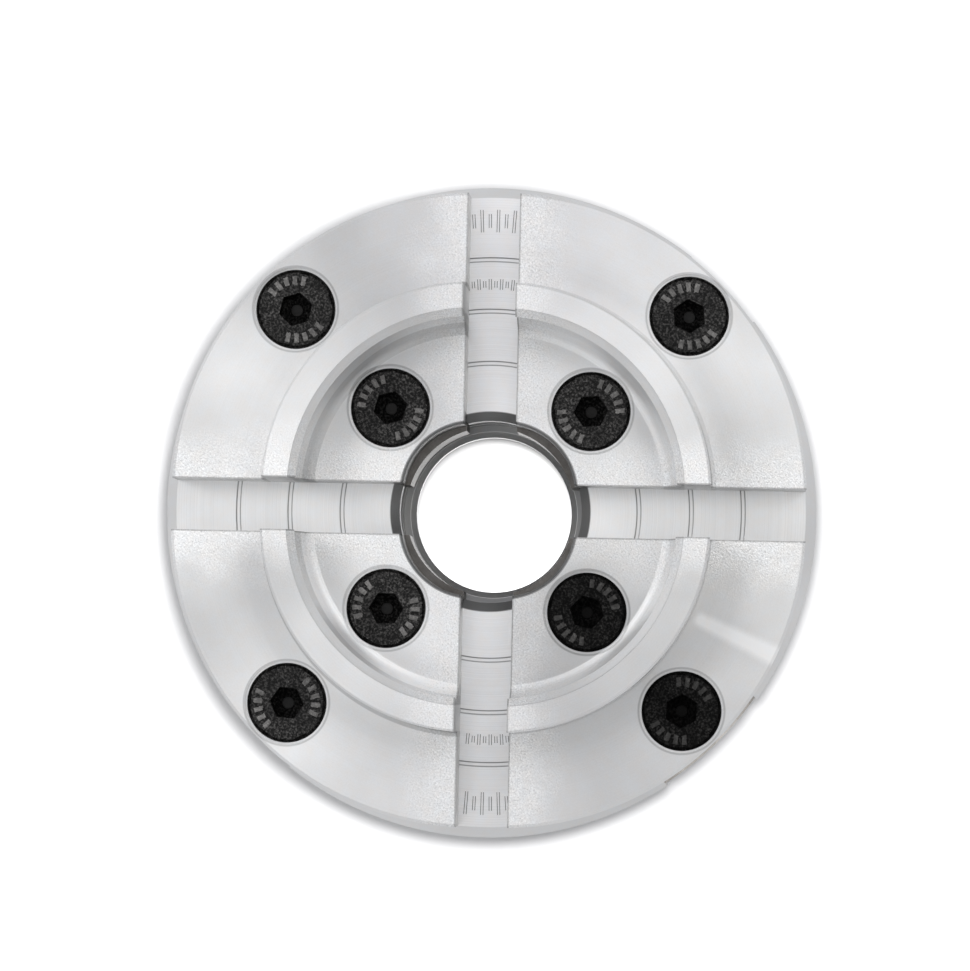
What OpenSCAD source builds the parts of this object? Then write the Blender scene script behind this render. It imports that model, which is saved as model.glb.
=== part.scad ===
// Four-jaw self-centring scroll chuck, opened by a hex key in either pinion.
// Millimetres. Z is the spindle axis, the jaws are at the top, and z = 0 is the rear
// face of the hub, which seats on the spindle's shoulder.
// Jaw 1 is on +X, jaw 2 on +Y, jaw 3 on -X, jaw 4 on -Y.

/* [Body] */
// Outside diameter of the chuck body
body_d = 92; // [92:0.5:94]
// Height of the front face above the rear of the hub
face_z = 48; // [48:0.5:49]
// Size of the chamfer round the front edge
edge_chamfer = 1.5; // [1:0.1:2]
// Radius of the counterbore in the middle of the front face
centre_bore_r = 12.9; // [12.5:0.1:13.2]
// Width of the three turned rings in the front face
groove_w = 0.7; // [0.5:0.1:1]

/* [Top jaws] */
// Radius of the outer edge of a top jaw
jaw_outer_r = 42.3; // [41:0.1:42.6]
// Inside radius of the gripping ring, closed to a true circle
ring_r = 25; // [24.6:0.1:25.4]
// Radial thickness of the gripping ring
ring_wall = 4; // [3.5:0.1:4.5]
// Height of the ring above the jaw flange
ring_h = 9; // [7:0.5:12]
// Thickness of the jaw flange
flange_t = 7.9; // [7.9:0.1:8.4]
// Width of the saw cut between two jaws at the true circle
kerf = 3; // [2.9:0.1:3.4]
// How far the jaws stand open past the true circle
rest_open = 3; // [3:0.1:3.2]

/* [Spindle] */
// Nominal radius of the spindle thread, M33 x 3.5
spindle_r = 16.5; // [16:0.1:16.5]
// Radius of the clear hole through the front of the hub
through_r = 11.15; // [10.5:0.05:11.5]

/* [Key] */
// Width across the flats of the key socket
key_af = 8; // [7:0.5:8]

/* [Hidden] */
eps = 0.01;
rot4 = [0, 90, 180, 270];
body_r = body_d / 2;
cover_z0 = 7;
body_z0 = 11;
groove_radii = [35.7, 28.4, 21];
groove_d = 0.22;
groove_slope = 0.1;
rear_edge = 0.5;
hub_r = 19;
hub_edge = 0.4;
cavity_r = 38.5;
cavity_top = 38.4;
thread_top = 33.5;
thread_chamfer = 0.6;
counterbore_z = 36;
counterbore_lip = 0.8;
counterbore_chamfer = 1.2;
fit_gap = 0.05;

// Clip in the hub's groove, and the thrust washer that it carries
clip_z0 = 26;
clip_z1 = 27.1;
clip_r = 24.5;
clip_groove_r = 17.9;
clip_slit = 3.4;
clip_eye_x = 21.8;
clip_eye_r = 0.9;
washer_z0 = 27.2;
washer_z1 = 28.3;
washer_r = 25;

// T-slots and base slides
slide_w = 12.5;
slot_w = 12.7;
wing_w = 19;
wing_slot_w = 19.3;
wing_z0 = 40;
wing_z1 = 44;
slide_top = face_z + 0.1;
slide_inner_r = 11.9;
slide_outer_r = 45.6;
bevel_offset = 5;
stop_pin_x = 29;
stop_pin_y = 8;
stop_pin_r = 1;
travel_in = 4.8;
travel_out = 7.5;

// Scroll spiral
pitch = 5;
ridge_t = 2.2;
tooth_gap = 0.3;
tooth_t = pitch - ridge_t - 2 * tooth_gap;
tooth_w = 12.4;
tooth_z0 = 35.7;
scroll_bore_r = 19.06;
scroll_r = 38.1;
ridge_z1 = 38.2;
ridge_z0 = 35.4;
plate_z0 = 28.4;
gear_face_z = 29.3;
first_tooth_x = 29.15;
tooth_slope = 1.7;
tooth_x_min = 25.3;
tooth_x_max = 42.5;
turn_steps = 48;

// Ring gear and pinions
pinion_z = 20.5;
ring_teeth = 64;
pinion_teeth = 12;
mesh_r = 37.9;
gear_module = 2 * mesh_r / ring_teeth;
pinion_r = gear_module * pinion_teeth / 2;
mesh_len = 7.9;
mesh_taper = (mesh_r - mesh_len) / mesh_r;
pressure_angle = 20;
ring_addendum = 0.7 * gear_module;
ring_dedendum = 1.25 * gear_module;
pinion_addendum = gear_module;
pinion_dedendum = 0.95 * gear_module;
ring_backlash = 0.10;
pinion_backlash = 0.16;
journal_r = 8.5;
journal_x0 = 38.9;
journal_x1 = 44.4;
journal_edge = 0.4;
neck_r = 4.4;
neck_x0 = 29.2;
spigot_r = 3;
spigot_x0 = 17.4;
socket_x0 = 35.5;
recess_x = 44;
recess_w = 17.5;
pin_x = 42.5;
pin_y = 8.3;
pin_r = 1.2;
pin_z1 = 24;
pin_gap = 0.1;

// Screws
jaw_screw_x = [16.9, 36];
floor_z = slide_top + flange_t - 1.5;
flange_z = slide_top + flange_t;
m6_head_r = 5.55;
m6_r = 3;
m6_len = 13;
m6_hex = 4;
m6_hex_depth = 2.4;
drill_depth = 3.1;
drill_r = 0.85;
drill_tip_r = 0.2;
screw_clear = 0.15;
seat_gap = 0.02;
head_recess = 0.4;
head_rim = 0.3;
sink_r = 5.85;
cover_screw_r = 41.9;
cover_screw_angles = [40, 90, 140, 220, 270, 320];
m4_head_r = 4;
m4_r = 2;
m4_recess = 0.1;
m4_end_z = 20;
m4_hex = 2.5;
m4_hex_depth = 2;
lock_z = 3.6;
lock_r = 2;
lock_angle = 45;
lock_hex = 2;
lock_hex_depth = 1;
lock_recess = 0.2;

// Top jaws
jaw_inner_r = 10;
jaw_edge = 0.3;
rim_edge = 0.4;
ring_step = 0.22;
lip_inset = 0.7;
lip_drop = 1.1;
wall_drop = 5.5;
cove = 1.3;
cove_inset = 2.7;

steel = [0.80, 0.81, 0.83];
satin = [0.86, 0.87, 0.88];
dark = [0.36, 0.36, 0.38];
black = [0.10, 0.10, 0.11];
brass = [0.72, 0.60, 0.34];

module bar(x0, x1, w, z0, z1) {
    translate([x0, -w / 2, z0]) cube([x1 - x0, w, z1 - z0]);
}

module post(r, z0, z1) {
    translate([0, 0, z0]) cylinder(r = r, h = z1 - z0, $fn = 96);
}

module x_rod(r, x0, x1) {
    translate([x0, 0, pinion_z]) rotate([0, 90, 0]) cylinder(r = r, h = x1 - x0, $fn = 64);
}

module hex_post(af, z0, z1) {
    translate([0, 0, z0]) cylinder(r = af / 2 / cos(30), h = z1 - z0, $fn = 6);
}

// ---- housing ----

module chuck_body() color(steel) {
    difference() {
        rotate_extrude($fn = 180) body_profile();
        for (a = rot4) rotate([0, 0, a]) slide_slot();
        for (a = [0, 180]) rotate([0, 0, a]) pinion_seat();
        for (a = cover_screw_angles) rotate([0, 0, a])
            translate([cover_screw_r, 0, 0]) post(m4_r + eps, body_z0 - 1, m4_end_z + 1);
        lock_rod(lock_r + eps, spindle_r - 1, hub_r + 1);
    }
}

// Half section of the turned body: rim, front face with its rings, counterbore, hub, cavity.
module body_profile() {
    c = edge_chamfer;
    g = groove_w / 2;
    polygon([
        [cavity_r, body_z0], [body_r - rear_edge, body_z0], [body_r, body_z0 + rear_edge],
        [body_r, face_z - c], [body_r - c, face_z],
        each [for (r = groove_radii) each [
            [r + g, face_z], [r + g - groove_slope, face_z - groove_d],
            [r - g + groove_slope, face_z - groove_d], [r - g, face_z]]],
        [centre_bore_r + counterbore_chamfer, face_z],
        [centre_bore_r, face_z - counterbore_chamfer],
        [centre_bore_r, counterbore_z], [through_r + counterbore_lip, counterbore_z],
        [through_r, counterbore_z - counterbore_lip], [through_r, thread_top],
        [spindle_r, thread_top], [spindle_r, thread_chamfer], [spindle_r + thread_chamfer, 0],
        [hub_r - hub_edge, 0], [hub_r, hub_edge],
        [hub_r, clip_z0 - fit_gap], [clip_groove_r, clip_z0 - fit_gap],
        [clip_groove_r, clip_z1 + fit_gap], [hub_r, clip_z1 + fit_gap],
        [hub_r, cavity_top], [cavity_r, cavity_top]]);
}

// One radial T-slot, its tooth channel and the short groove for the stop pin.
module slide_slot() {
    far = body_r + 2;
    bar(0, far, slot_w, wing_z1, face_z + 1);
    bar(0, far, wing_slot_w, wing_z0 - 0.1, wing_z1 + 0.1);
    difference() {
        bar(hub_r - 4, far, slot_w, cavity_top - 0.5, wing_z0);
        post(hub_r + 0.1, cavity_top - 1, wing_z0 + 1);
    }
    bar(cavity_r - 2, far, slot_w, tooth_z0 - 0.4, wing_z0);
    groove_x0 = stop_pin_x - travel_in - stop_pin_r - 0.4;
    groove_x1 = stop_pin_x + travel_out + stop_pin_r + 0.1;
    translate([0, stop_pin_y, 0])
        bar(groove_x0, groove_x1, 2 * stop_pin_r + 0.6, cavity_top - 0.5, wing_z0);
}

// Flat milled in the rim, the pinion's journal bore, spigot hole and retaining pin hole.
module pinion_seat() {
    bar(recess_x, body_r + 2, recess_w, cover_z0 - 1, face_z + 1);
    x_rod(journal_r + fit_gap, cavity_r - 3, body_r + 2);
    x_rod(spigot_r + fit_gap, spigot_x0 - 0.2, hub_r + 1);
    translate([pin_x, pin_y, 0]) post(pin_r + eps, body_z0 - 1, pin_z1 + pin_gap);
}

module rear_cover() color(steel) {
    hole_r = m4_r + screw_clear;
    seat_r = m4_head_r + screw_clear + seat_gap;
    difference() {
        rotate_extrude($fn = 180) polygon([
            [hub_r + 0.1, cover_z0], [body_r - 1, cover_z0], [body_r, cover_z0 + 1],
            [body_r, body_z0 - 0.3], [body_r - 0.3, body_z0], [hub_r + 0.1, body_z0]]);
        for (a = [0, 180]) rotate([0, 0, a])
            bar(recess_x, body_r + 2, recess_w, cover_z0 - 1, body_z0 + 1);
        for (a = cover_screw_angles) rotate([0, 0, a]) translate([cover_screw_r, 0, 0]) {
            post(hole_r, cover_z0 - 1, body_z0 + 1);
            translate([0, 0, cover_z0 - eps])
                cylinder(r1 = seat_r, r2 = hole_r, h = seat_r - hole_r, $fn = 64);
        }
    }
}

module cover_screws() color(black) {
    for (a = cover_screw_angles) rotate([0, 0, a]) translate([cover_screw_r, 0, 0])
        difference() {
            union() {
                translate([0, 0, cover_z0 + m4_recess])
                    cylinder(r1 = m4_head_r, r2 = m4_r, h = m4_head_r - m4_r, $fn = 64);
                post(m4_r, cover_z0 + 1, m4_end_z);
            }
            hex_post(m4_hex, cover_z0 - 1, cover_z0 + m4_hex_depth);
        }
}

module pinion_retaining_pins() color(dark) {
    for (a = [0, 180]) rotate([0, 0, a]) translate([pin_x, pin_y, 0])
        post(pin_r, body_z0 + pin_gap, pin_z1);
}

module lock_rod(r, r0, r1) {
    rotate([0, 0, lock_angle]) translate([r0, 0, lock_z]) rotate([0, 90, 0])
        cylinder(r = r, h = r1 - r0, $fn = 48);
}

// Grub screw that keeps the chuck from unscrewing when the lathe runs backwards.
module spindle_lock_screw() color(black) {
    difference() {
        lock_rod(lock_r, spindle_r + 0.1, hub_r - lock_recess);
        rotate([0, 0, lock_angle]) translate([hub_r - lock_recess - lock_hex_depth, 0, lock_z])
            rotate([0, 90, 0])
                cylinder(r = lock_hex / 2 / cos(30), h = lock_hex_depth + 1, $fn = 6);
    }
}

module scroll_retaining_ring() color(dark) {
    difference() {
        post(clip_r, clip_z0, clip_z1);
        post(clip_groove_r + fit_gap, clip_z0 - 1, clip_z1 + 1);
        rotate([0, 0, 45]) bar(0, clip_r + 1, clip_slit, clip_z0 - 1, clip_z1 + 1);
        for (a = [33, 57]) rotate([0, 0, a]) translate([clip_eye_x, 0, 0])
            post(clip_eye_r, clip_z0 - 1, clip_z1 + 1);
    }
}

module scroll_thrust_washer() color(brass) {
    difference() {
        post(washer_r, washer_z0, washer_z1);
        post(hub_r + 0.1, washer_z0 - 1, washer_z1 + 1);
    }
}

// ---- scroll ----

// Radius of the spiral ridge's middle, a degrees round from jaw 1, growing clockwise.
function spiral_r(a) = first_tooth_x - 2.5 * pitch - pitch * a / 360;
function spiral_steps(r) = (first_tooth_x - 2.5 * pitch - r) / pitch * turn_steps;
function spiral_pt(a, side) = (spiral_r(a) + side * ridge_t / 2) * [cos(a), sin(a)];

module scroll_gear() color(dark) {
    step = 360 / turn_steps;
    first = floor(spiral_steps(scroll_bore_r + ridge_t / 2 + 0.9));
    last = ceil(spiral_steps(scroll_r - ridge_t / 2 - 0.2));
    difference() {
        union() {
            post(scroll_r, gear_face_z, ridge_z0);
            post(mesh_r - mesh_len - 0.5, plate_z0, ridge_z0);
            translate([0, 0, ridge_z0 - 0.5]) linear_extrude(height = ridge_z1 - ridge_z0 + 0.5)
                polygon(concat(
                    [for (i = [first : -1 : last]) spiral_pt(i * step, 1)],
                    [for (i = [last : 1 : first]) spiral_pt(i * step, -1)]));
            ring_gear();
        }
        post(scroll_bore_r, plate_z0 - 4, ridge_z1 + 1);
    }
}

// The bevel teeth of the ring: [half width, height above the pinion axis] at the outer end.
ring_half = PI * gear_module / 4 - ring_backlash / 2;
flank = tan(pressure_angle);
ring_profile = [
    [-ring_half - ring_dedendum * flank, pinion_r + ring_dedendum],
    [-ring_half + ring_addendum * flank, pinion_r - ring_addendum],
    [ring_half - ring_addendum * flank, pinion_r - ring_addendum],
    [ring_half + ring_dedendum * flank, pinion_r + ring_dedendum]];
ring_back_z = gear_face_z + 0.7;

function ring_pt(i, taper) = let(
    p = ring_profile[i % 4],
    a = (floor(i / 4) + 0.5) * 360 / ring_teeth + p[0] / mesh_r * 180 / PI)
    [mesh_r * taper * cos(a), mesh_r * taper * sin(a), pinion_z + p[1] * taper];
function lifted(p) = [p[0], p[1], ring_back_z];

module ring_gear() {
    n = 4 * ring_teeth;
    points = concat(
        [for (i = [0 : n - 1]) ring_pt(i, 1)],
        [for (i = [0 : n - 1]) ring_pt(i, mesh_taper)],
        [for (i = [0 : n - 1]) lifted(ring_pt(i, 1))],
        [for (i = [0 : n - 1]) lifted(ring_pt(i, mesh_taper))]);
    faces = [for (i = [0 : n - 1]) let(j = (i + 1) % n) each [
        [i, j, n + j, n + i], [j, i, 2 * n + i, 2 * n + j],
        [2 * n + i, 3 * n + i, 3 * n + j, 2 * n + j], [n + i, n + j, 3 * n + j, 3 * n + i]]];
    polyhedron(points = points, faces = faces, convexity = 10);
}

// ---- pinions ----

base_r = pinion_r * cos(pressure_angle);
tip_r = pinion_r + pinion_addendum;
root_r = pinion_r - pinion_dedendum;
function inv(a) = tan(a) - a * PI / 180;
// Half the angle that a pinion tooth takes up at radius r, in degrees.
function tooth_half(r) = let(rr = max(r, base_r))
    (PI * gear_module / 2 - pinion_backlash) / pinion_r * 90 / PI
    + (inv(pressure_angle) - inv(acos(min(1, base_r / rr)))) * 180 / PI;
flank_r = [for (i = [0 : 5]) root_r + (tip_r - root_r) * i / 5];
function polar(r, a) = [r * cos(a), r * sin(a)];

module pinion_section() {
    polygon([for (k = [0 : pinion_teeth - 1]) each concat(
        [for (i = [0 : 5]) polar(flank_r[i], k * 360 / pinion_teeth - tooth_half(flank_r[i]))],
        [for (i = [5 : -1 : 0]) polar(flank_r[i], k * 360 / pinion_teeth + tooth_half(flank_r[i]))])]);
}

module pinion() {
    difference() {
        union() {
            translate([mesh_r, 0, pinion_z]) rotate([0, -90, 0])
                linear_extrude(height = mesh_len, scale = mesh_taper) pinion_section();
            x_rod(root_r - 0.1, mesh_r - 1, journal_x0 + eps);
            x_rod(journal_r, journal_x0, journal_x1 - journal_edge);
            x_rod(journal_r - journal_edge, journal_x0, journal_x1);
            x_rod(neck_r, neck_x0, mesh_r);
            x_rod(spigot_r, spigot_x0, mesh_r);
        }
        difference() {
            x_rod(journal_r + 1, pin_x - pin_r - pin_gap, pin_x + pin_r + pin_gap);
            x_rod(pin_y - pin_r - pin_gap, pin_x - 3, pin_x + 3);
        }
        translate([socket_x0, 0, pinion_z]) rotate([0, 90, 0])
            cylinder(r = key_af / 2 / cos(30), h = 12, $fn = 6);
    }
}

module pinion_1() color(dark) pinion();
module pinion_2() color(dark) rotate([0, 0, 180]) pinion();

// ---- jaws, each drawn as jaw 1 and turned to its place ----

module jaw_slide(n) color(dark) {
    shift = pitch * (n - 1) / 4;
    difference() {
        union() {
            intersection() {
                union() {
                    bar(8, 50, slide_w, wing_z1 - 0.5, slide_top);
                    bar(8, 50, wing_w, wing_z0, wing_z1);
                }
                post(slide_outer_r, wing_z0 - 1, slide_top + 1);
                slide_nose();
            }
            for (k = [-1 : 3]) let(x = first_tooth_x - shift + pitch * k)
                if (x > tooth_x_min && x < tooth_x_max) rack_tooth(x);
        }
        post(slide_inner_r, wing_z0 - 1, slide_top + 1);
        for (x = jaw_screw_x) translate([x + rest_open, 0, 0])
            post(m6_r + eps, slide_top - 8, slide_top + 1);
        translate([stop_pin_x, stop_pin_y, 0]) post(stop_pin_r + eps, wing_z0 - 1, 43);
    }
}

// Both corners of the slide's inner end are cut back at 45 degrees.
module slide_nose() {
    translate([0, 0, wing_z0 - 1]) linear_extrude(height = 12)
        polygon([[bevel_offset, 0], [bevel_offset + 15, 15], [60, 15], [60, -15],
            [bevel_offset + 15, -15]]);
}

// One rack tooth: its faces clear the spiral at every place that it can reach.
module rack_tooth(x) {
    outer = x - travel_in + tooth_t / 2;
    inner = x + travel_out - tooth_t / 2;
    translate([x, 0, 0]) rotate([0, 0, tooth_slope]) intersection() {
        bar(-4, 4, tooth_w, tooth_z0, wing_z0 + eps);
        difference() {
            translate([tooth_t / 2 - outer, 0, 0]) post(outer, tooth_z0 - 1, wing_z0 + 1);
            translate([-tooth_t / 2 - inner, 0, 0]) post(inner, tooth_z0 - 2, wing_z0 + 2);
        }
    }
}

// Half section of a top jaw about its own centre.
module jaw_profile() {
    r0 = jaw_inner_r;
    e = jaw_edge;
    lip = ring_r - lip_inset;
    out = ring_r + ring_wall;
    top = flange_z + ring_h;
    z0 = slide_top;
    cove_x = ring_r - cove_inset;
    polygon(concat(
        [[r0, z0], [jaw_outer_r - e, z0], [jaw_outer_r, z0 + e],
            [jaw_outer_r, flange_z - rim_edge], [jaw_outer_r - rim_edge, flange_z],
            [out + ring_step, flange_z], [out + ring_step, flange_z - e], [out, flange_z - e],
            [out, top - e], [out - e, top], [ring_r + rim_edge, top], [lip, top - lip_drop],
            [ring_r, top - wall_drop]],
        [for (i = [0 : 6]) [cove_x + cove * cos(15 * i), floor_z + cove - cove * sin(15 * i)]],
        [[r0 + e, floor_z], [r0, floor_z - e]]));
}

module top_jaw() color(satin) {
    difference() {
        intersection() {
            translate([rest_open, 0, 0]) rotate_extrude($fn = 180) jaw_profile();
            translate([rest_open + kerf / sqrt(2), 0, slide_top - 1])
                linear_extrude(height = 40) polygon([[0, 0], [60, 60], [60, -60]]);
        }
        jaw_screw_hole(jaw_screw_x[0] + rest_open, floor_z);
        jaw_screw_hole(jaw_screw_x[1] + rest_open, flange_z);
    }
}

module jaw_screw_hole(x, z) {
    hole_r = m6_r + screw_clear;
    seat_r = m6_head_r + seat_gap;
    seat_z = z - head_recess - head_rim;
    translate([x, 0, 0]) {
        post(hole_r, slide_top - 1, z + 1);
        post(sink_r, seat_z, z + 1);
        translate([0, 0, seat_z - (seat_r - hole_r)])
            cylinder(r1 = hole_r, r2 = seat_r, h = seat_r - hole_r, $fn = 64);
    }
}

// Countersunk socket screw with its head just below the surface at height z.
module jaw_screw(x, z, turn) color(black) {
    top = z - head_recess;
    cone_h = m6_head_r - m6_r;
    translate([x + rest_open, 0, 0]) difference() {
        union() {
            post(m6_head_r, top - head_rim, top);
            translate([0, 0, top - head_rim - cone_h])
                cylinder(r1 = m6_r, r2 = m6_head_r, h = cone_h, $fn = 64);
            post(m6_r, top - m6_len, top - head_rim);
        }
        rotate([0, 0, turn]) hex_post(m6_hex, top - m6_hex_depth, top + 1);
        translate([0, 0, top - drill_depth])
            cylinder(r1 = drill_tip_r, r2 = drill_r, h = drill_depth - m6_hex_depth + 2 * eps,
                $fn = 32);
    }
}

module inner_screw(turn) jaw_screw(jaw_screw_x[0], floor_z, turn);
module outer_screw(turn) jaw_screw(jaw_screw_x[1], flange_z, turn);

module stop_pin() color(dark) {
    translate([stop_pin_x, stop_pin_y, 0]) post(stop_pin_r, cavity_top + 0.3, 42.9);
}

module jaw_slide_1() jaw_slide(1);
module jaw_slide_2() rotate([0, 0, 90]) jaw_slide(2);
module jaw_slide_3() rotate([0, 0, 180]) jaw_slide(3);
module jaw_slide_4() rotate([0, 0, 270]) jaw_slide(4);
module top_jaw_1() top_jaw();
module top_jaw_2() rotate([0, 0, 90]) top_jaw();
module top_jaw_3() rotate([0, 0, 180]) top_jaw();
module top_jaw_4() rotate([0, 0, 270]) top_jaw();
module jaw_screw_inner_1() inner_screw(12);
module jaw_screw_inner_2() rotate([0, 0, 90]) inner_screw(33);
module jaw_screw_inner_3() rotate([0, 0, 180]) inner_screw(20);
module jaw_screw_inner_4() rotate([0, 0, 270]) inner_screw(48);
module jaw_screw_outer_1() outer_screw(40);
module jaw_screw_outer_2() rotate([0, 0, 90]) outer_screw(5);
module jaw_screw_outer_3() rotate([0, 0, 180]) outer_screw(27);
module jaw_screw_outer_4() rotate([0, 0, 270]) outer_screw(16);
module slide_stop_pin_1() stop_pin();
module slide_stop_pin_2() rotate([0, 0, 90]) stop_pin();
module slide_stop_pin_3() rotate([0, 0, 180]) stop_pin();
module slide_stop_pin_4() rotate([0, 0, 270]) stop_pin();

chuck_body();
rear_cover();
cover_screws();
pinion_retaining_pins();
spindle_lock_screw();
scroll_retaining_ring();
scroll_thrust_washer();
scroll_gear();
pinion_1();
pinion_2();
jaw_slide_1();
top_jaw_1();
jaw_screw_inner_1();
jaw_screw_outer_1();
slide_stop_pin_1();
jaw_slide_2();
top_jaw_2();
jaw_screw_inner_2();
jaw_screw_outer_2();
slide_stop_pin_2();
jaw_slide_3();
top_jaw_3();
jaw_screw_inner_3();
jaw_screw_outer_3();
slide_stop_pin_3();
jaw_slide_4();
top_jaw_4();
jaw_screw_inner_4();
jaw_screw_outer_4();
slide_stop_pin_4();
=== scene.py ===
import math
import random

import bmesh
import bpy
from mathutils import Matrix, Vector


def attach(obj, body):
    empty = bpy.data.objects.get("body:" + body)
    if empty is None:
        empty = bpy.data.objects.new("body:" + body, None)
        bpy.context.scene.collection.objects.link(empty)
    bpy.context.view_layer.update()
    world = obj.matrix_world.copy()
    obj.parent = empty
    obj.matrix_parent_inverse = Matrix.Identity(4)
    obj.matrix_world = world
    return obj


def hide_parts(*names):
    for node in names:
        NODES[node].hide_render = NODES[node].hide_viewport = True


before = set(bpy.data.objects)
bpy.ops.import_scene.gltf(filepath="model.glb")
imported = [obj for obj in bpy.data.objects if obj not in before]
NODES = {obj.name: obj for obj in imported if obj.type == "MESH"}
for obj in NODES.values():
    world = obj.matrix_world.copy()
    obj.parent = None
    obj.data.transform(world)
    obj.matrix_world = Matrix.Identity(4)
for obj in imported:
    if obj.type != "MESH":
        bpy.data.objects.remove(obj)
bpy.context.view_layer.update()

MM = 0.001

# All lengths below are in mm and all lamp and camera places in metres, unless a comment says
# otherwise. The jaws' directions, and how far each jaw's own centre stands from the axis:
JAW_DIR = {1: (1, 0), 2: (0, 1), 3: (-1, 0), 4: (0, -1)}
REST_OPEN = 3.0
# Where the lines of a jaw's two sawn edges would meet, on the jaw's own axis.
KERF_APEX = REST_OPEN + 3 / math.sqrt(2)
SIN_45 = 0.7071
# Heights of the body's face, a jaw's flange and a jaw's floor.
FACE_Z = 48.0
FLANGE_Z = 56.0
FLOOR_Z = 54.5
# Distances of a jaw's screws from the jaw's own centre.
SCREW_X = {"inner": 16.9, "outer": 36.0}
# Radii on a jaw: its inner end, its floor, the corner under its ring and the step outside it.
NOSE_R = 10.45
FLOOR_R = 22.4
COVE_R = 24.0
RING_WALL_R = 25.3
STEP_R = (29.0, 29.75)


# ---------------------------------------------------------------- node helpers

class Tree:
    """Builds a material's nodes from short calls; every call gives back a socket."""

    def __init__(self, name):
        self.mat = bpy.data.materials.new(name)
        self.mat.use_nodes = True
        self.nt = self.mat.node_tree
        self.nt.nodes.clear()
        out = self.nt.nodes.new("ShaderNodeOutputMaterial")
        self.bsdf = self.nt.nodes.new("ShaderNodeBsdfPrincipled")
        self.nt.links.new(self.bsdf.outputs[0], out.inputs[0])
        self.coord = self.nt.nodes.new("ShaderNodeTexCoord").outputs["Object"]

    def put(self, socket, value):
        if isinstance(value, bpy.types.NodeSocket):
            self.nt.links.new(value, socket)
        else:
            socket.default_value = value[:3] if socket.type == "VECTOR" else value

    def set(self, **values):
        for key, value in values.items():
            self.put(self.bsdf.inputs[key.replace("_", " ")], value)

    def math(self, op, a, b=0.0, c=0.0):
        n = self.nt.nodes.new("ShaderNodeMath")
        n.operation = op
        for socket, value in zip(n.inputs, (a, b, c)):
            self.put(socket, value)
        return n.outputs[0]

    def vmath(self, op, a, b=(0, 0, 0), scale=1.0):
        n = self.nt.nodes.new("ShaderNodeVectorMath")
        n.operation = op
        self.put(n.inputs[0], a)
        self.put(n.inputs[1], b)
        if op == "SCALE":
            self.put(n.inputs["Scale"], scale)
        return n.outputs["Value"] if op == "LENGTH" else n.outputs[0]

    def xyz(self, v):
        n = self.nt.nodes.new("ShaderNodeSeparateXYZ")
        self.put(n.inputs[0], v)
        return n.outputs[0], n.outputs[1], n.outputs[2]

    def vec(self, x, y, z):
        n = self.nt.nodes.new("ShaderNodeCombineXYZ")
        for socket, value in zip(n.inputs, (x, y, z)):
            self.put(socket, value)
        return n.outputs[0]

    def noise(self, vector, scale, detail=2.0, rough=0.5, dims="3D", w=0.0):
        n = self.nt.nodes.new("ShaderNodeTexNoise")
        n.noise_dimensions = dims
        if dims == "1D":
            self.put(n.inputs["W"], w)
        else:
            self.put(n.inputs["Vector"], vector)
        n.inputs["Scale"].default_value = scale
        n.inputs["Detail"].default_value = detail
        n.inputs["Roughness"].default_value = rough
        return n.outputs["Fac"]

    def ramp(self, value, lo, hi, out_lo=0.0, out_hi=1.0, smooth=False):
        n = self.nt.nodes.new("ShaderNodeMapRange")
        n.clamp = True
        if smooth:
            n.interpolation_type = "SMOOTHSTEP"
        for socket, v in zip(n.inputs[:5], (value, lo, hi, out_lo, out_hi)):
            self.put(socket, v)
        return n.outputs[0]

    def band(self, value, lo, hi, soft=0.05):
        """1 where value lies between lo and hi, 0 outside."""
        rise = self.ramp(value, lo - soft, lo + soft)
        return self.math("MULTIPLY", rise, self.ramp(value, hi - soft, hi + soft, 1.0, 0.0))

    def mix(self, fac, a, b):
        n = self.nt.nodes.new("ShaderNodeMix")
        n.data_type = "RGBA"
        self.put(n.inputs[0], fac)
        self.put(n.inputs[6], a)
        self.put(n.inputs[7], b)
        return n.outputs[2]

    def bump(self, height, distance, strength=1.0, normal=None):
        n = self.nt.nodes.new("ShaderNodeBump")
        n.inputs["Strength"].default_value = strength
        n.inputs["Distance"].default_value = distance
        self.put(n.inputs["Height"], height)
        if normal is not None:
            self.put(n.inputs["Normal"], normal)
        return n.outputs[0]

    def around(self, cx, cy):
        """Distance in mm from the axis through (cx, cy) mm, and the offset vector from it."""
        x, y, _ = self.xyz(self.vmath("SCALE", self.coord, scale=1000.0))
        dx, dy = self.math("SUBTRACT", x, cx), self.math("SUBTRACT", y, cy)
        flat = self.vec(dx, dy, 0.0)
        return self.vmath("LENGTH", flat), dx, dy

    def outward(self, dx, dy):
        """World direction straight out from the axis, across the tool marks."""
        n = self.nt.nodes.new("ShaderNodeVectorTransform")
        n.vector_type, n.convert_from, n.convert_to = "VECTOR", "OBJECT", "WORLD"
        self.put(n.inputs[0], self.vec(dx, dy, 0.0))
        return self.vmath("NORMALIZE", n.outputs[0])


def grey(v, warm=0.0):
    """A linear grey of value v, a little warm or, below zero, a little cool."""
    return (v * (1 + warm), v, v * (1 - warm), 1.0)


# Heights in mm that the bumps of the turned faces stand for.
TOOL_MARK_DEPTH = 0.006
GRAIN_DEPTH = 0.055
# The painted shade round a countersink's lip, a dark ring: where it rises and where it falls off
# again.
LIP_RISE, LIP_FALL = (5.80, 5.90), (6.05, 6.20)
# The painted highlight on jaw 1, a bright radial streak: turn from the jaw's direction in degrees,
# spread and gain.
HIGHLIGHT_TURN, HIGHLIGHT_SPREAD, HIGHLIGHT_GAIN = 20.4, 0.05, 0.34
# No turned face reflects more than this.
WHITEST = 0.98


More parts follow.
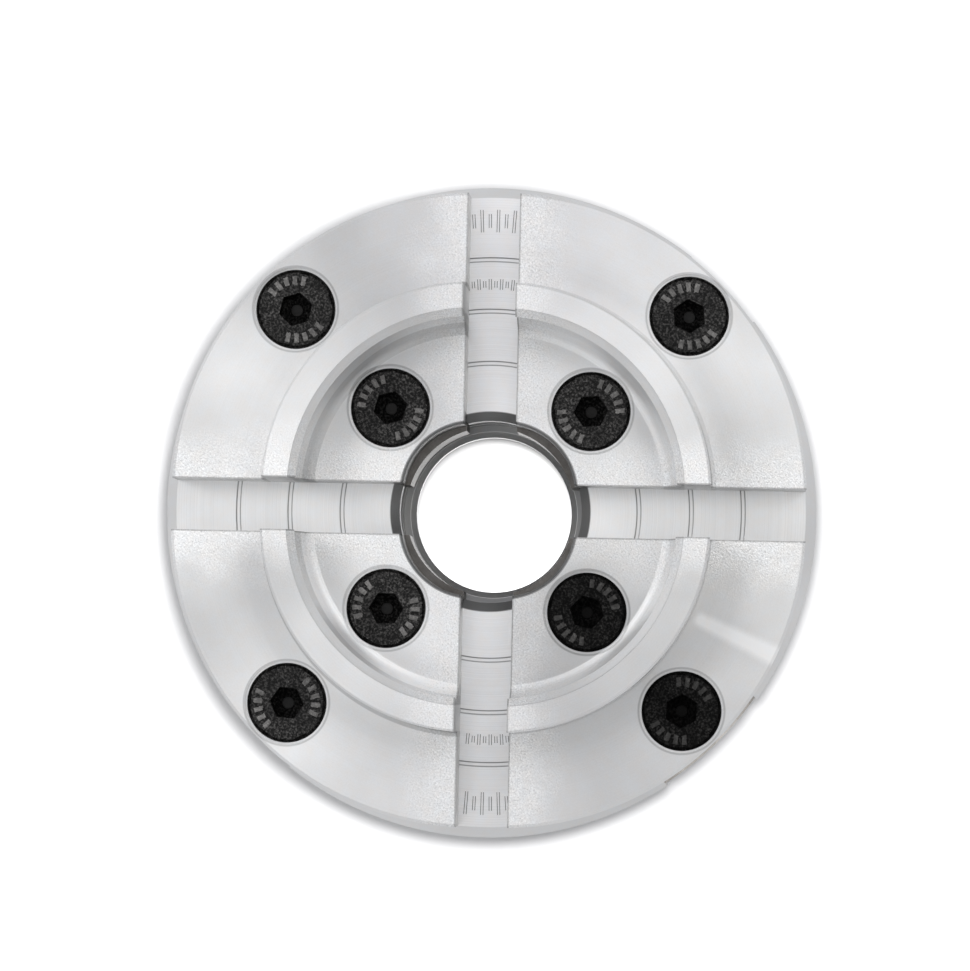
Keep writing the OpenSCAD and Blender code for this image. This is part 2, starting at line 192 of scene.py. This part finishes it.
def turned_metal(name, tone, centre=(0.0, 0.0), cut=None, rough=0.34, rings=0.5, speckle=1.0,
                 aniso=0.55, painted_light_bands=(), holes=(), streak=None):
    """Lathe-turned satin steel: rings round centre and soft clouds. cut is a jaw's direction,
    for the bead-like speckle along its two sawn edges and a thin line of painted shade right
    at them; painted_light_bands are (inner radius, outer radius, factor) of painted light and
    shade, rings where the colour is made darker or lighter; holes are countersinks, each with
    a dark ring of painted shade at its lip; streak is the angle of a painted highlight, a
    bright radial band, counted from the jaw's direction."""
    t = Tree(name)
    p = t.vmath("SCALE", t.coord, scale=1000.0)
    d, dx, dy = t.around(*centre)
    along_tool = t.math("ADD", d, t.xyz(p)[2])
    broad = t.noise(None, 0.9, 3.0, 0.6, "1D", along_tool)
    fine = t.noise(None, 5.5, 2.0, 0.5, "1D", t.math("ADD", along_tool, 71.0))
    cloud = t.noise(p, 0.055, 2.0, 0.5)
    mottle = t.noise(p, 0.6, 3.0, 0.6)
    value = t.math("MULTIPLY_ADD", t.ramp(cloud, 0.3, 0.7), 0.13, 0.935)
    value = t.math("MULTIPLY_ADD", t.math("SUBTRACT", broad, 0.5), 0.05 * rings, value)
    value = t.math("MULTIPLY_ADD", t.math("SUBTRACT", fine, 0.5), 0.10 * rings, value)
    value = t.math("MULTIPLY_ADD", t.math("SUBTRACT", mottle, 0.5), 0.05, value)
    grain = t.noise(p, 4.2, 2.0, 0.7)
    if cut:
        ux, uy = cut
        x, y, _ = t.xyz(p)
        along = t.math("ADD", t.math("MULTIPLY", x, ux), t.math("MULTIPLY", y, uy))
        sideways = t.math("SUBTRACT", t.math("MULTIPLY", x, uy), t.math("MULTIPLY", y, ux))
        across = t.math("ABSOLUTE", sideways)
        # Distance from the nearer sawn edge, then the same distance made uneven by a noise.
        edge = t.math("SUBTRACT", t.math("SUBTRACT", along, KERF_APEX), across)
        edge = t.math("MULTIPLY", edge, SIN_45)
        edge_shade = t.ramp(edge, 0.12, 0.26, 1.0, 0.0)
        uneven = t.math("SUBTRACT", t.noise(p, 0.16, 2.0, 0.6), 0.5)
        edge = t.math("MULTIPLY_ADD", uneven, 9.0, edge)
        near = t.ramp(edge, 0.5, 9.0, 1.0, 0.10, smooth=True)
    else:
        near = 0.12
    spark = t.ramp(grain, 0.52, 0.68)
    pit = t.ramp(grain, 0.46, 0.30)
    value = t.math("MULTIPLY_ADD", t.math("MULTIPLY", spark, near), 0.22 * speckle, value)
    value = t.math("MULTIPLY_ADD", t.math("MULTIPLY", pit, near), -0.25 * speckle, value)
    # Painted light and shade: each band makes a ring of the colour darker or lighter.
    for lo, hi, factor in painted_light_bands:
        painted_light_factor = t.math("MULTIPLY_ADD", t.band(d, lo, hi), factor - 1, 1.0)
        value = t.math("MULTIPLY", value, painted_light_factor)
    # Painted shade: a thin dark line right along each sawn edge.
    if cut:
        value = t.math("MULTIPLY", value, t.math("MULTIPLY_ADD", edge_shade, -0.42, 1.0))
    # Painted shade: a dark ring round each countersink's lip.
    for hx, hy in holes:
        h, _, _ = t.around(hx, hy)
        lip = t.math("MULTIPLY", t.ramp(h, *LIP_RISE), t.ramp(h, *LIP_FALL, 1.0, 0.0))
        value = t.math("MULTIPLY_ADD", lip, -0.32, value)
    # Painted highlight: a bright radial streak across the jaw's flange.
    if streak is not None:
        a = math.atan2(cut[1], cut[0]) + streak
        cos, sin = math.cos(a), math.sin(a)
        off = t.math("SUBTRACT", t.math("MULTIPLY", dy, cos), t.math("MULTIPLY", dx, sin))
        ahead = t.math("ADD", t.math("MULTIPLY", dx, cos), t.math("MULTIPLY", dy, sin))
        wedge = t.math("DIVIDE", t.math("ABSOLUTE", off), t.math("MAXIMUM", ahead, 0.1))
        painted_highlight = t.ramp(wedge, 0.0, HIGHLIGHT_SPREAD, 1.0, 0.0, smooth=True)
        painted_highlight = t.math("MULTIPLY", painted_highlight, t.ramp(d, 29.5, 30.5))
        value = t.math("MULTIPLY_ADD", painted_highlight, HIGHLIGHT_GAIN, value)
    value = t.math("MINIMUM", value, WHITEST / tone)
    colour = t.mix(t.ramp(mottle, 0.35, 0.65), grey(tone, 0.010), grey(tone, -0.012))
    t.set(Base_Color=t.vmath("SCALE", colour, scale=value))
    r = t.math("MULTIPLY_ADD", t.math("SUBTRACT", cloud, 0.5), 0.14, rough)
    r = t.math("MULTIPLY_ADD", near, 0.10 * speckle, r)
    if cut:
        r = t.math("MULTIPLY_ADD", t.band(d, FLOOR_R, RING_WALL_R), 0.22, r)
    t.set(Metallic=1.0, Roughness=r, Anisotropic=aniso)
    t.set(Tangent=t.outward(dx, dy))
    marks = t.math("ADD", t.math("MULTIPLY", fine, 0.6), broad)
    n = t.bump(marks, TOOL_MARK_DEPTH * MM, rings)
    t.set(Normal=t.bump(t.math("MULTIPLY", grain, near), GRAIN_DEPTH * MM, speckle, n))
    return t.mat


# How much brighter a slide's outer end is, where it was turned together with the body.
FRESH_GAIN = 4.2


def worked_metal(name, tone, rough=0.42, tint=0.0, scratch=1.0, stain=0.5, bright_past=None):
    """Darker machined steel: mottled oil film, fine scratches and worn paler spots. Past the
    radius bright_past it has been turned together with the body."""
    t = Tree(name)
    p = t.vmath("SCALE", t.coord, scale=1000.0)
    film = t.noise(p, 0.22, 4.0, 0.6)
    grain = t.noise(p, 2.6, 3.0, 0.65)
    streak = t.noise(t.vmath("MULTIPLY", p, (0.5, 0.5, 5.0)), 1.4, 3.0, 0.6)
    value = t.math("MULTIPLY_ADD", t.ramp(film, 0.32, 0.68), 0.9 * stain, 1 - 0.45 * stain)
    value = t.math("MULTIPLY_ADD", t.math("SUBTRACT", grain, 0.5), 0.45, value)
    value = t.math("MULTIPLY_ADD", t.math("SUBTRACT", streak, 0.5), 0.35 * scratch, value)
    if bright_past:
        d, _, _ = t.around(0.0, 0.0)
        fresh = t.ramp(d, bright_past, bright_past + 0.1, 1.0, FRESH_GAIN)
        value = t.math("MULTIPLY", value, fresh)
    colour = t.mix(film, grey(tone, tint + 0.05), grey(tone, tint - 0.02))
    t.set(Base_Color=t.vmath("SCALE", colour, scale=value), Metallic=1.0)
    t.set(Roughness=t.math("MULTIPLY_ADD", t.math("SUBTRACT", film, 0.5), 0.25, rough))
    n = t.bump(streak, 0.02 * MM, scratch)
    t.set(Normal=t.bump(grain, 0.03 * MM, 1.0, n))
    return t.mat


def black_oxide(name, tone=0.040, seed=0.0, centre=None, shine=0.45, contrast=1.0):
    """Grainy blackened steel: a coarse matt skin with small worn sparkles, and round centre,
    if it is given, the fine cold-forged ribs of a screw head's rim."""
    t = Tree(name)
    p = t.vmath("ADD", t.vmath("SCALE", t.coord, scale=1000.0), (seed, seed * 0.37, 0.0))
    grain = t.noise(p, 3.3, 3.0, 0.70)
    lump = t.noise(p, 1.5, 3.0, 0.6)
    patch = t.noise(p, 0.30, 2.0, 0.5)
    value = t.math("MULTIPLY_ADD", t.ramp(grain, 0.47, 0.70), 5.2 * contrast, 1.0 - 0.8 * contrast)
    value = t.math("MULTIPLY", value, t.ramp(patch, 0.3, 0.7, 0.7, 1.5))
    if centre:
        d, dx, dy = t.around(*centre)
        ribs = t.math("SINE", t.math("MULTIPLY", t.math("ARCTAN2", dy, dx), 110.0))
        ribs = t.math("MULTIPLY", ribs, t.ramp(d, 3.6, 5.0, 0.0, 1.0, smooth=True))
        ribs = t.math("MULTIPLY", ribs, t.ramp(lump, 0.42, 0.62))
        value = t.math("MULTIPLY_ADD", ribs, 1.1, value)
        value = t.math("MAXIMUM", value, 0.1)
    t.set(Base_Color=t.vmath("SCALE", grey(tone, 0.03), scale=value), Metallic=0.35)
    t.set(Roughness=t.ramp(grain, 0.35, 0.75, 0.60, 0.34))
    t.set(Specular_IOR_Level=shine)
    n = t.bump(lump, 0.20 * MM, 1.0)
    t.set(Normal=t.bump(grain, 0.05 * MM, 1.0, n))
    return t.mat


# ---------------------------------------------------------------- materials on CAD nodes

# Painted shade along both edges of each turned ring in the face: (inner radius, outer radius,
# factor).
GROOVE_R = (21.0, 28.4, 35.7)
GROOVE_HALF, LINE_HALF, LINE_TONE = 0.27, 0.08, 0.42
GROOVE_SHADE_LINES = [(r + side * GROOVE_HALF - LINE_HALF, r + side * GROOVE_HALF + LINE_HALF, LINE_TONE)
                for r in GROOVE_R for side in (-1, 1)]
MAT = {
    # Painted shade on the body: darker in the bore inside 12 mm, most on its chamfer out to 14.2
    # mm, and on the rim past 44.5 mm.
    "body": turned_metal("body_turned", 0.93, rings=1.5, speckle=0.35, rough=0.33, aniso=0.6,
                         painted_light_bands=[(-1.0, 12.0, 0.85), (12.0, 14.2, 0.34), (44.5, 60.0, 0.80)]
                         + GROOVE_SHADE_LINES),
    "cover": turned_metal("cover_turned", 0.62, rings=1.2, speckle=0.3, rough=0.38),
    "slide": worked_metal("slide_steel", 0.15, rough=0.40, tint=0.04, bright_past=45.1),
    "scroll": worked_metal("scroll_steel", 0.26, rough=0.38),
    "pinion": worked_metal("pinion_steel", 0.30, rough=0.36),
    "pin": worked_metal("pin_steel", 0.34, rough=0.34),
    "ring": worked_metal("ring_steel", 0.22, rough=0.42),
    "thread": worked_metal("thread_steel", 0.36, rough=0.38, stain=0.4),
    "bronze": worked_metal("bronze", 0.42, rough=0.40, tint=0.30, stain=0.3),
    "black": black_oxide("cover_screw_black", seed=3.0),
}
# Painted light and shade on the jaws: factors that darken or lighten each jaw's floor, inside
# corner and step.
# Tone of each jaw's floor, inside corner and the step round its ring. The differences follow
# the light in the photo and are not differences between the real jaws.
FLOOR_PAINTED_SHADE = {1: 0.82, 2: 0.93, 3: 0.95, 4: 1.0}
COVE_PAINTED_LIGHT = {1: 1.04, 2: 1.02, 3: 0.80, 4: 1.2}
STEP_PAINTED_SHADE = {1: 1.0, 2: 0.84, 3: 0.54, 4: 0.68}
for n, (ux, uy) in JAW_DIR.items():
    holes = [((x + REST_OPEN) * ux, (x + REST_OPEN) * uy) for x in SCREW_X.values()]
    # Painted shade: each jaw's inner end, inside NOSE_R, is made darker.
    MAT[f"jaw_{n}"] = turned_metal(
        f"jaw_{n}_turned", 0.80, (REST_OPEN * ux, REST_OPEN * uy), (ux, uy),
        painted_light_bands=((-1.0, NOSE_R, 0.35), (NOSE_R, FLOOR_R, FLOOR_PAINTED_SHADE[n]),
               (FLOOR_R, COVE_R, COVE_PAINTED_LIGHT[n]), (*STEP_R, STEP_PAINTED_SHADE[n])),
        holes=holes, aniso=0.62, streak=math.radians(HIGHLIGHT_TURN) if n == 1 else None)


def paint(node, mat):
    """Puts mat on a CAD node, whose mesh stays as it is."""
    o = NODES[node]
    if not o.material_slots:
        o.data.materials.append(mat)
    for s in o.material_slots:
        s.material = mat


for node, mat in {
    "chuck_body": "body", "rear_cover": "cover", "scroll_gear": "scroll",
    "scroll_retaining_ring": "ring", "scroll_thrust_washer": "bronze", "pinion_1": "pinion",
    "pinion_2": "pinion", "pinion_retaining_pins": "pin", "cover_screws": "black",
    "spindle_lock_screw": "black",
}.items():
    paint(node, MAT[mat])
for n in JAW_DIR:
    paint(f"jaw_slide_{n}", MAT["slide"])
    paint(f"slide_stop_pin_{n}", MAT["pin"])
    paint(f"top_jaw_{n}", MAT[f"jaw_{n}"])


# ---------------------------------------------------------------- pieces built here

def new_piece(name, bm, mats, body, node=None, angle=30):
    """Turns a bmesh in mm into a piece that rides on body, with smooth faces and sharp edges."""
    bmesh.ops.scale(bm, vec=(MM, MM, MM), verts=bm.verts)
    bmesh.ops.recalc_face_normals(bm, faces=bm.faces)
    for e in bm.edges:
        if len(e.link_faces) == 2 and e.calc_face_angle(0.0) > math.radians(angle):
            e.smooth = False
    for f in bm.faces:
        f.smooth = True
    me = bpy.data.meshes.new(name)
    bm.to_mesh(me)
    bm.free()
    for m in mats:
        me.materials.append(m)
    o = bpy.data.objects.new(name, me)
    bpy.context.collection.objects.link(o)
    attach(o, body)
    if node:
        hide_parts(node)
    return o


def ring_strip(bm, lower, upper, material=0):
    """Quads between two closed rings of vertices."""
    n = len(lower)
    for i in range(n):
        f = bm.faces.new((lower[i], lower[(i + 1) % n], upper[(i + 1) % n], upper[i]))
        f.material_index = material


def ring_at(bm, cx, cy, z, radius, count, turn=0.0):
    """A ring of vertices; radius is a number or a function of the angle."""
    ring = []
    for i in range(count):
        a = 2 * math.pi * i / count + turn
        r = radius(a - turn) if callable(radius) else radius
        ring.append(bm.verts.new((cx + r * math.cos(a), cy + r * math.sin(a), z)))
    return ring


def hexagon(across_flats):
    """Radius of a hexagon's edge at an angle."""
    def radius(a):
        part = (a + math.pi / 6) % (math.pi / 3) - math.pi / 6
        return across_flats / 2 / math.cos(part)
    return radius


def thread_ring(z, r_root, r_crest, pitch):
    """Radius of a 60 degree screw thread at height z and an angle."""
    def radius(a):
        phase = (z / pitch - a / (2 * math.pi)) % 1.0
        wave = min(1.0, max(0.0, 1.25 * (1 - abs(2 * phase - 1)) - 0.125))
        return r_root + (r_crest - r_root) * wave
    return radius


# The M6 countersunk socket screw: head and shank radii, the head's straight rim, the hexagon
# and its depth, the screw's length, and its thread's root, crest and pitch.
HEAD_R, SHANK_R, HEAD_RIM = 5.55, 3.0, 0.3
HEX_FLATS, HEX_CHAMFER, HEX_DEPTH = 4.0, 0.16, 2.35
SCREW_LENGTH = 13
SCREW_ROOT, SCREW_CREST, SCREW_PITCH = 2.55, 2.98, 1.0
SCREW_SEGMENTS, HEAD_STEPS, THREAD_STEPS = 216, 22, 44
# The pressed bars on the head: inner and outer radius, half width, width of a flank, height
# and the angle in radians between two bars.
BAR_IN, BAR_OUT, BAR_HALF, BAR_FLANK, BAR_HEIGHT, BAR_GAP = 3.35, 4.75, 0.40, 0.12, 0.11, 0.30
# The edge of a hexagon's chamfer stands this far outside the hexagon.
MOUTH = 0.12


def socket_screw(name, body, node, cx, cy, top, turn, seed, tone):
    """M6 countersunk socket screw: pressed marks and ribs on the head, and a cut thread."""
    bm = bmesh.new()
    rng = random.Random(seed)
    hex_r = hexagon(HEX_FLATS)
    mark_at = rng.uniform(0, math.pi)
    lumps = [(rng.uniform(0, 2 * math.pi), rng.uniform(2.8, 5.0), rng.uniform(0.25, 0.7),
              rng.uniform(-0.035, 0.03)) for _ in range(26)]

    def bar_rise(r, a):
        """How far up its flank a pressed bar stands at (r, a), from 0 to 1."""
        for side in (0, 1):
            for k in range(-2, 3):
                c = mark_at + side * math.pi + k * BAR_GAP
                across = abs(math.remainder(a - c, 2 * math.pi)) * r
                if across < BAR_HALF and BAR_IN < r < BAR_OUT:
                    inside = min(BAR_HALF - across, r - BAR_IN, BAR_OUT - r)
                    return min(1.0, inside / BAR_FLANK)
        return 0.0

    def height(x, y):
        """Height of the head's face over its mean level, in the screw's own directions."""
        r, a = math.hypot(x, y), math.atan2(y, x)
        h = BAR_HEIGHT * bar_rise(r, a)
        for la, lr, size, lift in lumps:
            d2 = ((x - lr * math.cos(la)) ** 2 + (y - lr * math.sin(la)) ** 2) / size ** 2
            if d2 < 4:
                h += lift * math.exp(-d2)
        ribs = math.cos(108 * a) * max(0.0, min(1.0, (r - 4.5) / 0.6))
        h += 0.012 * ribs - 0.05 * max(0.0, (r - 5.1) / 0.45) ** 2
        return h - 0.06

    rings = []
    for k in range(HEAD_STEPS + 1):
        ring = []
        for i in range(SCREW_SEGMENTS):
            a = 2 * math.pi * i / SCREW_SEGMENTS
            inner = hex_r(a) + MOUTH
            r = inner + (HEAD_R - MOUTH - inner) * (k / HEAD_STEPS)
            x, y = r * math.cos(a), r * math.sin(a)
            ring.append(bm.verts.new((cx + x * math.cos(turn) - y * math.sin(turn),
                                      cy + x * math.sin(turn) + y * math.cos(turn),
                                      top + height(x, y))))
        rings.append(ring)
    for lower, upper in zip(rings, rings[1:]):
        ring_strip(bm, lower, upper)
    # The tops of the bars are worn paler, and the head's outer edge gets the darkest material,
    # painted shade.
    bm.faces.ensure_lookup_table()
    for f in bm.faces:
        c = f.calc_center_median()
        r, a = math.hypot(c.x - cx, c.y - cy), math.atan2(c.y - cy, c.x - cx) - turn
        if bar_rise(r, a) > 0.6:
            f.material_index = 2
        elif r > HEAD_R - 0.48:
            f.material_index = 3
    # The socket: a small chamfer, six walls, a cone left by the drill and its flat.
    last = rings[0]
    for z in (top - HEX_CHAMFER, top - HEX_DEPTH):
        ring = ring_at(bm, cx, cy, z, hex_r, SCREW_SEGMENTS, turn)
        ring_strip(bm, last, ring, 3)
        last = ring
    for z, r, m in ((top - 2.55, 1.15, 3), (top - 2.60, 0.86, 3),
                    (top - 2.45, 0.80, 1), (top - 2.42, 0.40, 1)):
        ring = ring_at(bm, cx, cy, z, r, SCREW_SEGMENTS, turn)
        ring_strip(bm, last, ring, m)
        last = ring
    f = bm.faces.new(last)
    f.material_index = 1
    # Outside: rim, cone, thread and point.
    last = rings[-1]
    low = top - HEAD_RIM
    neck = low - (HEAD_R - SHANK_R)
    levels = [(top - 0.16, HEAD_R), (low, HEAD_R), (neck, SHANK_R)]
    z0, z1 = neck - 0.3, top - SCREW_LENGTH + 0.5
    for i in range(THREAD_STEPS + 1):
        z = z0 + (z1 - z0) * i / THREAD_STEPS
        levels.append((z, thread_ring(z, SCREW_ROOT, SCREW_CREST, SCREW_PITCH)))
    levels.append((top - SCREW_LENGTH, 2.3))
    for z, r in levels:
        ring = ring_at(bm, cx, cy, z, r, SCREW_SEGMENTS, turn)
        ring_strip(bm, last, ring)
        last = ring
    bm.faces.new(last)
    # Material 3, a darker copy of the oxide, is painted shade on the head's outer edge and in the
    # socket.
    mats = [black_oxide(name + "_oxide", tone, seed, (cx, cy), shine=18 * tone),
            worked_metal(name + "_worn", tone * 1.5, rough=0.5, stain=0.3),
            black_oxide(name + "_bars", tone * 8, seed + 5, shine=40 * tone, contrast=0.15),
            black_oxide(name + "_deep", tone * 0.3, seed + 9, shine=0.03)]
    return new_piece(name, bm, mats, body, node, angle=28)


# How far each screw's socket is turned in degrees, how deep a head sits and how dark it is.
SCREW_TURNS = {"inner": {1: 62, 2: 20, 3: 30, 4: 15}, "outer": {1: 44, 2: 50, 3: 32, 4: 10}}
HEAD_SINK = 0.4
# Painted shade: jaw 1's screws are made darker than the others.
SCREW_TONE = {1: 0.005, 2: 0.014, 3: 0.014, 4: 0.014}
for n, (ux, uy) in JAW_DIR.items():
    for where, z in (("inner", FLOOR_Z - HEAD_SINK), ("outer", FLANGE_Z - HEAD_SINK)):
        along = SCREW_X[where]
        socket_screw(f"socket_screw_{where}_{n}", f"jaw_{n}", f"jaw_screw_{where}_{n}",
                     (along + REST_OPEN) * ux, (along + REST_OPEN) * uy, z,
                     math.radians(SCREW_TURNS[where][n]), 11.0 * n + along, SCREW_TONE[n])


def spindle_thread():
    """The M33 x 3.5 thread in the hub, cut as a real helix; its root lines the bore."""
    bm = bmesh.new()
    seg, pitch, steps = 144, 3.5, 150
    root, crest, wall = 16.40, 14.6, 16.49
    low, high = 1.2, 33.2
    first = ring_at(bm, 0, 0, low, wall, seg)
    last = ring_at(bm, 0, 0, high, wall, seg)
    ring_strip(bm, first, last)
    for i in range(steps + 1):
        z = high - 0.1 - (high - low - 0.2) * i / steps
        ring = ring_at(bm, 0, 0, z, thread_ring(z, root, crest, pitch), seg)
        ring_strip(bm, last, ring)
        last = ring
    ring_strip(bm, last, first)
    new_piece("spindle_thread", bm, [MAT["thread"]], "housing", None, 25)


spindle_thread()


# The tick marks: rows of (radius, length, gap, count), half the distance between the two lines
# of a mark, half the width of a line, and how far a line stands over and reaches into the face.
MARK_ROWS = ((41.2, 3.2, 1.15, 7), (32.2, 1.5, 0.8, 9))
MARK_LINE_AT, MARK_LINE_HALF, MARK_OVER, MARK_DEPTH = 0.17, 0.045, 0.02, 0.03
# The direction in degrees that points right in the camera's view.
RIGHT_TURN = 46.2


def face_marks():
    """Plain engraved index ticks in two arms of the face, where the real chuck has lettering."""
    bm = bmesh.new()
    z = FACE_Z + MARK_OVER
    for arm in (math.radians(RIGHT_TURN + 90), math.radians(RIGHT_TURN - 90)):
        for radius, length, gap, count in MARK_ROWS:
            for k in range(count):
                a = arm + (k - (count - 1) / 2) * gap / radius
                out = Vector((math.cos(a), math.sin(a), 0))
                side = Vector((-math.sin(a), math.cos(a), 0))
                size = length * (1.0 if k % 2 == 0 else 0.62)
                for e in (-1, 1):
                    c = out * radius + side * e * MARK_LINE_AT
                    corners = [c + out * u * size / 2 + side * v * MARK_LINE_HALF
                               + Vector((0, 0, z)) for u, v in ((-1, -1), (1, -1), (1, 1), (-1, 1))]
                    low = [bm.verts.new(q - Vector((0, 0, MARK_DEPTH))) for q in corners]
                    high = [bm.verts.new(q) for q in corners]
                    ring_strip(bm, low, high)
                    bm.faces.new(high)
                    bm.faces.new(low[::-1])
    new_piece("index_marks", bm, [worked_metal("mark_shadow", 0.17, rough=0.6, stain=0.3)],
              "housing", None)


face_marks()

# ---------------------------------------------------------------- stage, lights, camera

RIGHT = Vector((0.692, 0.722, 0)).normalized()
UP = Vector((-RIGHT.y, RIGHT.x, 0))


def at(right, up, z):
    """A place given in the camera's own right and up, and its height."""
    return RIGHT * right + UP * up + Vector((0, 0, z))


def floor():
    """A white sheet with a glowing patch of painted light where it shows through the bore; the
    patch is set off centre and fades at its edge, which paints the shade at the bore's upper edge.
    """
    bm = bmesh.new()
    bmesh.ops.create_grid(bm, x_segments=8, y_segments=8, size=1.5)
    me = bpy.data.meshes.new("floor")
    bm.to_mesh(me)
    bm.free()
    o = bpy.data.objects.new("floor", me)
    bpy.context.collection.objects.link(o)
    t = Tree("floor_white")
    centre = at(-0.9, -0.1, 0)    # in mm, as around() takes it
    d, _, _ = t.around(centre.x, centre.y)
    # Painted light: a glow under the bore, full out to full_r and gone at dark_r.
    full_r, dark_r, strength = 9.9, 13.1, 1.15
    painted_bore_glow = t.ramp(d, full_r, dark_r, strength, 0.0, smooth=True)
    t.set(Base_Color=(0.93, 0.93, 0.935, 1), Roughness=0.85, Specular_IOR_Level=0.1)
    t.set(Emission_Color=(1, 1, 1, 1), Emission_Strength=painted_bore_glow)
    me.materials.append(t.mat)
    return o


LAMP_Z = 1.0


def area(name, place, size, watts, colour=(1, 1, 1), aim=(0, 0, 0.05)):
    """A round lamp of the given diameter in metres, turned towards aim."""
    light = bpy.data.lights.new(name, "AREA")
    light.shape, light.size, light.energy, light.color = "DISK", size, watts, colour
    o = bpy.data.objects.new(name, light)
    bpy.context.collection.objects.link(o)
    o.location = place
    o.rotation_mode = "QUATERNION"
    o.rotation_quaternion = (place - Vector(aim)).to_track_quat("Z", "Y")
    return o


def studio(ground):
    """The pale surroundings, one lamp for the sheet and five for the chuck."""
    world = bpy.data.worlds.new("studio")
    world.use_nodes = True
    world.node_tree.nodes["Background"].inputs["Color"].default_value = (0.98, 0.985, 1.0, 1)
    world.node_tree.nodes["Background"].inputs["Strength"].default_value = 0.57
    bpy.context.scene.world = world
    # This lamp hangs low over the chuck and lights the sheet only, so that the shadow is a
    # narrow one that shows nearly all round. It stands clear of the camera's view.
    sun = area("floor_key", at(0.030, -0.0165, 0.625), 0.025, 2.75, aim=(0.01, 0.01, 0))
    sun.visible_camera = False
    receivers = bpy.data.collections.new("lit_floor")
    receivers.objects.link(ground)
    sun.light_linking.receiver_collection = receivers
    # The others light the chuck and leave the sheet alone.
    chuck_only = bpy.data.collections.new("lit_chuck")
    chuck_only.objects.link(ground)
    chuck_only.collection_objects[0].light_linking.link_state = "EXCLUDE"
    for lamp in (area("box_upper_right", at(0.42, 0.42, LAMP_Z), 0.50, 1.5),
                 area("box_lower_left", at(-0.42, -0.42, LAMP_Z), 0.50, 1.15),
                 area("key", at(-0.75, 0.35, LAMP_Z), 0.60, 3.5),
                 area("top_lilac", at(0.0, 0.55, LAMP_Z), 0.5, 0.65, (0.97, 0.94, 1.0)),
                 area("side_warm", at(0.55, 0.0, LAMP_Z), 0.5, 0.5, (1.0, 0.97, 0.88))):
        lamp.light_linking.receiver_collection = chuck_only


def camera():
    """The photo's view: a long lens over the face, leaning a little right and down."""
    lean, distance = 0.045, 0.701
    back = (RIGHT * lean - UP * lean + Vector((0, 0, 1))).normalized()
    side_up = (UP - back * UP.dot(back)).normalized()
    off_right, off_up = 0.39, 3.33
    target = Vector((0, 0, FLANGE_Z * MM)) - RIGHT * off_right * MM + UP * off_up * MM
    data = bpy.data.cameras.new("camera")
    data.lens, data.sensor_width = 186.0, 36.0
    data.clip_start, data.clip_end = 0.05, 10.0
    cam = bpy.data.objects.new("camera", data)
    bpy.context.collection.objects.link(cam)
    turn = Matrix((side_up.cross(back), side_up, back)).transposed()
    cam.matrix_world = Matrix.Translation(target + back * distance) @ turn.to_4x4()
    bpy.context.scene.camera = cam


studio(floor())
camera()
bpy.context.scene.view_settings.view_transform = "Standard"
